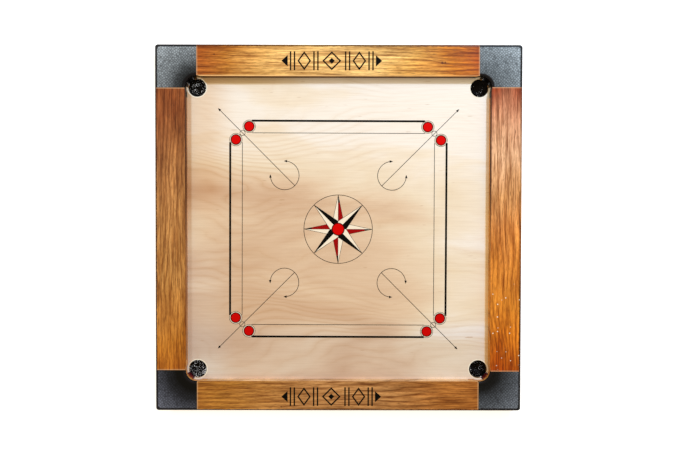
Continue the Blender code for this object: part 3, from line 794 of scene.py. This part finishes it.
class Ink:
    """Flat shapes of one colour, gathered into one thin printed piece."""

    def __init__(self, name, slot, material, layer, ground=SURFACE_Z, place=PRINT_PLACE):
        self.name, self.slot, self.material = name, slot, material
        self.height = ground + layer * INK_STEP
        self.place = place
        self.bm = bmesh.new()

    def polygon(self, points):
        vertices = [self.bm.verts.new((x, y, 0.0)) for x, y in points]
        face = self.bm.faces.new(vertices)
        face.normal_update()
        if face.normal.z < 0.0:
            face.normal_flip()

    def strip(self, start, stop, width):
        """A straight line of ink."""
        start, stop = Vector(start), Vector(stop)
        along = (stop - start).normalized()
        side = Vector((-along.y, along.x)) * 0.5 * width
        self.polygon([start - side, stop - side, stop + side, start + side])

    def arc(self, centre, radius, width, start=0.0, stop=360.0):
        """A line of ink along an arc; the angles are in degrees."""
        steps = max(8, int(abs(stop - start) / 3.0))
        inner, outer = radius - 0.5 * width, radius + 0.5 * width
        for i in range(steps):
            a, b = (math.radians(start + (stop - start) * k / steps) for k in (i, i + 1))
            self.polygon([(centre[0] + r * math.cos(t), centre[1] + r * math.sin(t))
                          for r, t in ((inner, a), (outer, a), (outer, b), (inner, b))])

    def disc(self, centre, radius, steps=64):
        angles = [math.tau * i / steps for i in range(steps)]
        self.polygon([(centre[0] + radius * math.cos(t), centre[1] + radius * math.sin(t))
                      for t in angles])

    def arrow_head(self, tip, direction):
        """A long thin triangle with its point at the tip."""
        ahead = Vector(direction).normalized()
        side = Vector((-ahead.y, ahead.x)) * 0.5 * ARROW_HEAD_WIDTH
        back = Vector(tip) - ahead * ARROW_HEAD_LENGTH
        self.polygon([Vector(tip), back + side, back - side])

    def finish(self):
        """Turn the gathered shapes into a piece that rides on the board."""
        bmesh.ops.remove_doubles(self.bm, verts=self.bm.verts, dist=1e-7)
        self.bm.transform(self.place)
        for vertex in self.bm.verts:
            vertex.co.z = self.height
        self.bm.normal_update()
        add_piece(self.name, mesh_of(self.bm, self.name, self.material))


def turned(point, quarter):
    """A point turned about the print's middle by quarter turns."""
    x, y = point
    for _ in range(quarter):
        x, y = -y, x
    return x, y


def print_base_lines(ground, black, red, rim):
    """On each side: a thick and a thin line between two pale circles with red spots."""
    reach = BASE_CIRCLE_ALONG - LINE_END
    for quarter in range(4):
        for out, width in ((BASE_LINE, BASE_LINE_WIDTH), (INNER_LINE, THIN_LINE)):
            ends = [turned((sign * reach, out), quarter) for sign in (-1, 1)]
            black.strip(*ends, width)
        for sign in (-1, 1):
            centre = turned((sign * BASE_CIRCLE_ALONG, BASE_CIRCLE_OUT), quarter)
            ground.disc(centre, BASE_CIRCLE_RADIUS)
            black.arc(centre, BASE_CIRCLE_RADIUS - 0.5 * FINE_LINE, FINE_LINE)
            red.disc(centre, BASE_SPOT_RADIUS - SPOT_RIM)
            rim.arc(centre, BASE_SPOT_RADIUS - 0.5 * SPOT_RIM, SPOT_RIM)


def print_arrows(black):
    """In each corner: a diagonal arrow that points at the pocket, from three quarters of a ring."""
    diagonal = math.sqrt(0.5)
    ring_middle = 0.5 * (BASE_CIRCLE_ALONG + BASE_CIRCLE_OUT)
    for sx, sy in CORNERS.values():
        tip = (sx * ARROW_TIP, sy * ARROW_TIP)
        foot = ARC_MIDDLE - ARC_RADIUS * diagonal
        neck = ARROW_TIP - 0.8 * ARROW_HEAD_LENGTH * diagonal
        black.strip((sx * foot, sy * foot), (sx * neck, sy * neck), THIN_LINE)
        black.arrow_head(tip, (sx, sy))
        black.arc((sx * ring_middle, sy * ring_middle), PIVOT_RING_RADIUS, FINE_LINE)
        middle = (sx * ARC_MIDDLE, sy * ARC_MIDDLE)
        outward = math.degrees(math.atan2(sy, sx))
        black.arc(middle, ARC_RADIUS, THIN_LINE, outward + 50.0, outward + 310.0)
        ahead = 0.3 * ARROW_HEAD_LENGTH
        black.arrow_head((middle[0] + sx * ahead, middle[1] + sy * ARC_RADIUS), (sx, 0.0))
        black.arrow_head((middle[0] + sx * ARC_RADIUS, middle[1] + sy * ahead), (0.0, sy))


def print_star(ground, black, dark_red, ground_over, black_over):
    """The centre circle with two four-pointed stars.

    Each point is coloured on its clockwise half and pale on the other.
    """
    black.arc((0.0, 0.0), CENTRE_CIRCLE_RADIUS - 0.5 * THIN_LINE, THIN_LINE)
    reach = CENTRE_CIRCLE_RADIUS - THIN_LINE
    for number in range(8):
        on_diagonal = number % 2 == 1
        inner = STAR_INNER_RADIUS["diagonal" if on_diagonal else "upright"]
        angle = math.radians(45.0 * number)
        tip = Vector((math.cos(angle), math.sin(angle))) * reach
        sides = [Vector((math.cos(angle + turn), math.sin(angle + turn))) * inner
                 for turn in (math.radians(-45.0), math.radians(45.0))]
        filled = black_over if on_diagonal else dark_red
        outline = black_over if on_diagonal else black
        bare = ground_over if on_diagonal else ground
        filled.polygon([(0.0, 0.0), sides[0], tip])
        bare.polygon([(0.0, 0.0), tip, sides[1]])
        if not on_diagonal:
            ends = [tip.lerp(foot, STAR_BLACK_END) for foot in (Vector((0.0, 0.0)), sides[0])]
            black_over.polygon([tip, *ends])
        for side in sides:
            outline.strip(side, tip, STAR_OUTLINE)
        outline.strip((0.0, 0.0), tip, STAR_OUTLINE)


def print_surface():
    """All the markings on the playing surface, layer over layer."""
    ground = Ink("printed_grounds", "surface_plywood", pale_ground, 1)
    black = Ink("printed_lines", "print_black", black_ink, 2)
    red = Ink("printed_spots", "print_red", red_ink, 2)
    rim = Ink("printed_spot_rims", "print_red", rim_ink, 2)
    dark_red = Ink("star_red_halves", "print_red", star_ink, 2)
    ground_over = Ink("star_bare_halves", "surface_plywood", pale_ground, 3)
    black_over = Ink("star_black_halves", "print_black", black_ink, 4)
    red_over = Ink("star_centre_spot", "print_red", red_ink, 5)
    rim_over = Ink("star_centre_rim", "print_red", rim_ink, 5)
    print_base_lines(ground, black, red, rim)
    print_arrows(black)
    print_star(ground, black, dark_red, ground_over, black_over)
    red_over.disc((0.0, 0.0), CENTRE_SPOT_RADIUS - SPOT_RIM)
    rim_over.arc((0.0, 0.0), CENTRE_SPOT_RADIUS - 0.5 * SPOT_RIM, SPOT_RIM)
    for layer in (ground, black, red, rim, dark_red, ground_over, black_over, red_over, rim_over):
        layer.finish()


def make_hole_edges():
    """The bare sanded ring round each pocket's hole, open towards the corner."""
    ring = Ink("pocket_hole_edges", "surface_plywood", bare_edge_wood(), 1,
               place=Matrix.Identity(4))
    for corner, signs in CORNERS.items():
        outward = math.degrees(math.atan2(signs[1], signs[0]))
        ring.arc(POCKETS[corner], POCKET_RADIUS + 0.5 * RING_WIDTH, RING_WIDTH,
                 outward + RING_GAPS[signs[1]], outward + 360.0 - RING_GAPS[signs[1]])
    ring.finish()


# ---- ornament on the rails
def lozenge(ink_layer, middle, half_width, half_height, stroke):
    """The outline of a lozenge, as four mitred strokes."""
    shrink = 1.0 - stroke * math.hypot(half_width, half_height) / (half_width * half_height)
    corners = [(half_width, 0.0), (0.0, half_height), (-half_width, 0.0), (0.0, -half_height)]
    for first, second in zip(corners, corners[1:] + corners[:1]):
        ink_layer.polygon([(middle + x * size, y * size)
                           for (x, y), size in ((first, shrink), (first, 1.0), (second, 1.0),
                                                (second, shrink))])


def make_motif(rail, turn):
    """A row of lozenges and bars near the middle of a rail's top face."""
    middle = 0.5 * (INNER_FACES[rail] + math.copysign(HALF_BOARD, INNER_FACES[rail]))
    place = Matrix.Translation((MOTIF_ASIDE, middle + MOTIF_LOW, 0.0))
    place = place @ Matrix.Rotation(math.radians(turn), 4, "Z")
    motif = Ink(f"{rail}_ornament", "print_black", black_ink, 1, ground=TOP_Z, place=place)
    lozenge(motif, 0.0, MOTIF_HALF_HEIGHT, MOTIF_HALF_HEIGHT, MOTIF_STROKE)
    core = 0.32 * MOTIF_HALF_HEIGHT
    motif.polygon([(core, 0.0), (0.0, core), (-core, 0.0), (0.0, -core)])
    for side in (-1.0, 1.0):
        for bar in MOTIF_BARS:
            motif.strip((side * bar, -MOTIF_HALF_HEIGHT), (side * bar, MOTIF_HALF_HEIGHT),
                        MOTIF_STROKE)
        lozenge(motif, side * MOTIF_LOZENGE, MOTIF_SIDE_WIDTH, MOTIF_HALF_HEIGHT, MOTIF_STROKE)
        base = side * (MOTIF_END - MOTIF_END_LENGTH)
        motif.polygon([(side * MOTIF_END, 0.0), (base, 0.6 * MOTIF_HALF_HEIGHT),
                       (base, -0.6 * MOTIF_HALF_HEIGHT)])
    motif.finish()


# ---- nets
def bag_point(turn, drop, outward, droop):
    """A point of a slack net: the turn is an angle, and the drop goes from rim 0 to middle 1.

    The rim hangs down by the droop on the side towards the corner, which is outward.
    """
    slope = drop * 0.5 * math.pi
    facing = max(0.0, math.cos(turn - outward)) ** 12
    rim = NET_RADIUS + (NET_REACH - NET_RADIUS) * facing
    radius = rim * max(0.0, math.cos(slope)) ** 0.45
    deep = math.sin(slope) ** 0.45
    point = Vector((radius * math.cos(turn), radius * math.sin(turn), 0.0))
    loose = 0.0032 * (0.25 + drop)
    sway = noise.noise_vector(Vector((70.0 * point.x, 70.0 * point.y, 2.0 * drop)))
    point.x += loose * sway.x
    point.y += loose * sway.y
    top = NET_TOP_Z - droop * facing
    floor = NET_FLOOR_Z + 0.0016 * (sway.z + 0.6)
    point.z = top + (max(floor, NET_FLOOR_Z) - top) * deep
    return point


def gathered(point, fold, bunch):
    """Where a point of an inner fold lies: the inner folds are bunched towards one side."""
    if fold > 0:
        point.x = (1.0 - NET_GATHER) * point.x + bunch[0]
        point.y = (1.0 - NET_GATHER) * point.y + bunch[1]
        point.z += NET_FOLD_STEP * fold * (NET_TOP_Z - point.z) / NET_TOP_Z
    reach = math.hypot(point.x, point.y)
    if reach > NET_REACH:
        point.x *= NET_REACH / reach
        point.y *= NET_REACH / reach
    return point


def make_net(corner, outer_folds, inner_folds, bunch, droop, material, seed):
    """A knotted net: zigzag cords that meet at knots, in a few folds."""
    dice = random.Random(seed)
    curve = bpy.data.curves.new(f"pocket_net_{corner}_cords", "CURVE")
    curve.dimensions = "3D"
    curve.bevel_depth = CORD_RADIUS
    curve.bevel_resolution = 1
    curve.materials.append(material)
    knots = bmesh.new()
    for fold in range(1 - outer_folds, inner_folds + 1):
        ends = knot_places(corner, fold, bunch, droop, dice)
        for column in range(NET_COLUMNS):
            for step in (0, 1):
                points = [ends[row, (column - (row % 2) * step) % NET_COLUMNS]
                          for row in range(NET_ROWS + 1)]
                add_cord(curve, slack_path(points, dice))
        for (row, _), point in ends.items():
            if 0 < row < NET_ROWS:
                add_knot(knots, point, dice)
    add_piece(f"pocket_net_{corner}_cords", curve, [f"pocket_net_{corner}"])
    mesh = mesh_of(knots, f"pocket_net_{corner}_knots", material)
    mesh.shade_smooth()
    add_piece(f"pocket_net_{corner}_knots", mesh)


def knot_places(corner, fold, bunch, droop, dice):
    """Where the cords of one fold meet, by row and column, with some slack."""
    middle = Vector((*POCKETS[corner], 0.0))
    outward = math.atan2(CORNERS[corner][1], CORNERS[corner][0])
    twist = dice.uniform(0.0, math.tau)
    ends = {}
    for row in range(NET_ROWS + 1):
        for column in range(NET_COLUMNS):
            slack = (dice.uniform(-0.25, 0.25), dice.uniform(-0.3, 0.3))
            turn = twist + math.tau * (column + 0.5 * (row % 2) + slack[0]) / NET_COLUMNS
            drop = min(1.0, max(0.0, (row + (slack[1] if row else 0.0)) / NET_ROWS))
            point = bag_point(turn, drop, outward, droop)
            ends[row, column] = middle + gathered(point, fold, bunch)
    return ends


def add_cord(curve, path):
    """A cord along a path."""
    spline = curve.splines.new("POLY")
    spline.points.add(len(path) - 1)
    for target, point in zip(spline.points, path):
        target.co = (*point, 1.0)


def add_knot(knots, point, dice):
    """A small uneven lump where cords meet."""
    size = KNOT_RADIUS * dice.uniform(0.8, 1.2)
    place = Matrix.Translation(point) @ Matrix.Rotation(dice.uniform(0, 3), 4, "Z")
    bmesh.ops.create_icosphere(
        knots, subdivisions=1, radius=size, matrix=place @ Matrix.Diagonal((1.3, 0.9, 0.8, 1.0)))


def slack_path(points, dice):
    """The knots in order, with a slack point in each stretch of cord between them."""
    path = [points[0]]
    for start, stop in zip(points, points[1:]):
        length = (stop - start).length
        bow = Vector([dice.uniform(-0.16, 0.16) * length for _ in range(3)])
        halfway = 0.5 * (start + stop) + bow
        halfway.z = max(halfway.z, NET_FLOOR_Z - 0.0006)
        path += [halfway, stop]
    return path


# ---- screws
def recess_depth(x, y):
    """How deep the cross recess is at a point of the screw's head."""
    reach = max(abs(x), abs(y))
    if min(abs(x), abs(y)) > RECESS_HALF_WIDTH or reach > RECESS_REACH:
        return 0.0
    return RECESS_DEPTH * (1.0 - 0.45 * reach / RECESS_REACH)


def screw_mesh(name, length, material):
    """A countersunk screw that points up, with a cross recess in its face and a thread."""
    rings = [(SCREW_HEAD * step / SCREW_FACE_RINGS, None) for step in range(1, SCREW_FACE_RINGS)]
    rings += [(SCREW_HEAD - 0.0001, 0.0), (SCREW_HEAD, 0.0002), (SCREW_CORE + 0.0004, SCREW_CONE)]
    turns = int((length - SCREW_CONE - SCREW_POINT) / SCREW_PITCH)
    for turn in range(turns):
        start = SCREW_CONE + 0.0006 + turn * SCREW_PITCH
        rings += [(SCREW_CORE, start), (SCREW_CORE + SCREW_THREAD, start + 0.45 * SCREW_PITCH),
                  (SCREW_CORE, start + 0.85 * SCREW_PITCH)]
    rings += [(0.0001, length)]
    bm = bmesh.new()
    first = bm.verts.new((0.0, 0.0, recess_depth(0.0, 0.0)))
    previous = None
    for radius, height in rings:
        ring = []
        for i in range(SCREW_SIDES):
            angle = math.tau * i / SCREW_SIDES
            x, y = radius * math.cos(angle), radius * math.sin(angle)
            z = recess_depth(x, y) if height is None else height
            ring.append(bm.verts.new((x, y, z)))
        for i in range(SCREW_SIDES):
            j = (i + 1) % SCREW_SIDES
            if previous is None:
                bm.faces.new((first, ring[j], ring[i]))
            else:
                bm.faces.new((previous[i], previous[j], ring[j], ring[i]))
        previous = ring
    bm.faces.new(previous)
    bmesh.ops.recalc_face_normals(bm, faces=bm.faces)
    mesh = mesh_of(bm, name, material)
    mesh.shade_smooth()
    mesh.set_sharp_from_angle(angle=math.radians(SHARP_ANGLES["screw"]))
    return mesh


def make_screws(prefix, material):
    """Replace each plain CAD screw with a detailed one in the same place."""
    for node in sorted(name for name in frame["nodes"] if name.startswith(prefix)):
        low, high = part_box(node)
        size = high - low
        axis = max(range(3), key=lambda number: size[number])
        middle = 0.5 * (low + high)
        from_low = axis == 2 or middle[axis] < 0.0
        direction = Vector()
        direction[axis] = 1.0 if from_low else -1.0
        face = middle - direction * 0.5 * size[axis]
        mesh = screw_mesh(f"{node}_detail", size[axis], material)
        turn = direction.to_track_quat("Z", "Y").to_matrix().to_4x4()
        mesh.transform(Matrix.Translation(face) @ turn)
        add_piece(f"{node}_detail", mesh, [node])


# ---- assembling
def dress(prefix, material):
    """Give CAD nodes their finish, with smooth round faces and crisp flat ones."""
    for name, node in frame["nodes"].items():
        if name.startswith(prefix):
            node.data.materials.clear()
            node.data.materials.append(material)
            node.data.shade_smooth()
            node.data.set_sharp_from_angle(angle=math.radians(SHARP_ANGLES["cad"]))
            weighted = node.modifiers.new("flat faces stay flat", "WEIGHTED_NORMAL")
            weighted.keep_sharp = True


make_camera()
make_lights()
make_floor()

dress("playing_surface", surface_wood())
for number, (name, look) in enumerate(RAIL_LOOKS.items(), start=1):
    dress(name, rail_wood(name, *look, seed=3.7 * number))
for corner, tones in CAP_PAINTED_SHEEN.items():
    dress(f"corner_cap_{corner}", cap_black(corner, *tones))
for corner in CORNERS:
    dress(f"pocket_block_{corner}", block_wood(corner))
dress("net_ring", ring_plastic())
dress("net_tack", metal("tack steel", (0.35, 0.35, 0.36), (0.55, 0.55, 0.56), 0.35))
for batten in ("batten_crosswise", "batten_lengthwise"):
    dress(batten, batten_wood())

cord = cord_black()
black_ink = ink("black ink", (0.001, 0.001, 0.001), (0.006, 0.005, 0.004))
red_ink = ink("red ink", (0.68, 0.0, 0.0), (0.74, 0.002, 0.002), front=0.86)
rim_ink = ink("dark rim ink", (0.05, 0.0, 0.0005), (0.08, 0.001, 0.001))
pale_ground = ink("pale ground", (0.95, 0.83, 0.68), (0.90, 0.74, 0.57))
star_ink = ink("dark red ink", (0.31, 0.001, 0.002), (0.39, 0.005, 0.005))
print_surface()
make_hole_edges()
make_motif("rail_back", 0.0)
make_motif("rail_front", 180.0)

noise.seed_set(NOISE_SEED)
for number, (corner, look) in enumerate(NETS.items()):
    make_net(corner, *look, cord, seed=11 + number)
black_steel = metal("blackened steel", (0.03, 0.03, 0.035), (0.07, 0.07, 0.075), 0.32)
zinc = metal("zinc plated steel", (0.55, 0.53, 0.48), (0.68, 0.66, 0.61), 0.30)
make_screws("cap_screw", black_steel)
make_screws("lap_screw", zinc)
make_screws("batten_screw", zinc)

bpy.context.scene.view_settings.view_transform = "Standard"
